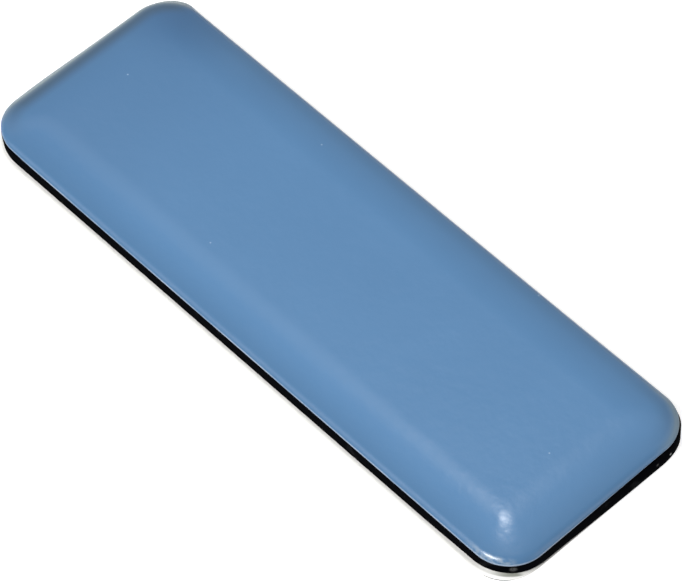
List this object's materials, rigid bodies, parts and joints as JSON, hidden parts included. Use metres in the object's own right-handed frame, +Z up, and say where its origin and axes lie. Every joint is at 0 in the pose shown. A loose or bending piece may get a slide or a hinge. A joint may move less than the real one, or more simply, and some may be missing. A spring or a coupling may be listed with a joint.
{
  "type": "furniture slider",
  "caption": "Rectangular stick-on furniture slider: a crowned low-friction cap bonded over a rubber pad, with adhesive tape underneath and a peel-off paper liner.",
  "frame": {"origin": "middle of the liner's underside, where the slider rests", "axes": "+X along the slider, +Y across it, +Z up towards the glide face"},
  "size_m": [0.152, 0.052, 0.0064],
  "materials": {
    "glide_face": "satin",
    "bond_film": "satin",
    "rubber": "matte",
    "adhesive": "gloss",
    "carrier_film": "gloss",
    "liner_paper": "satin"
  },
  "bodies": {
    "slider": {"glide_face": "glide_face", "bond_film": "bond_film", "rubber_pad": "rubber", "pad_adhesive": "adhesive", "tape_carrier": "carrier_film", "mount_adhesive": "adhesive"},
    "liner": {"release_liner": "liner_paper"}
  },
  "joints": [
    {"name": "liner_peel", "type": "slide", "parent": "slider", "child": "liner", "axis": [0, -1, 0], "range_m": [0, 0.055]}
  ]
}
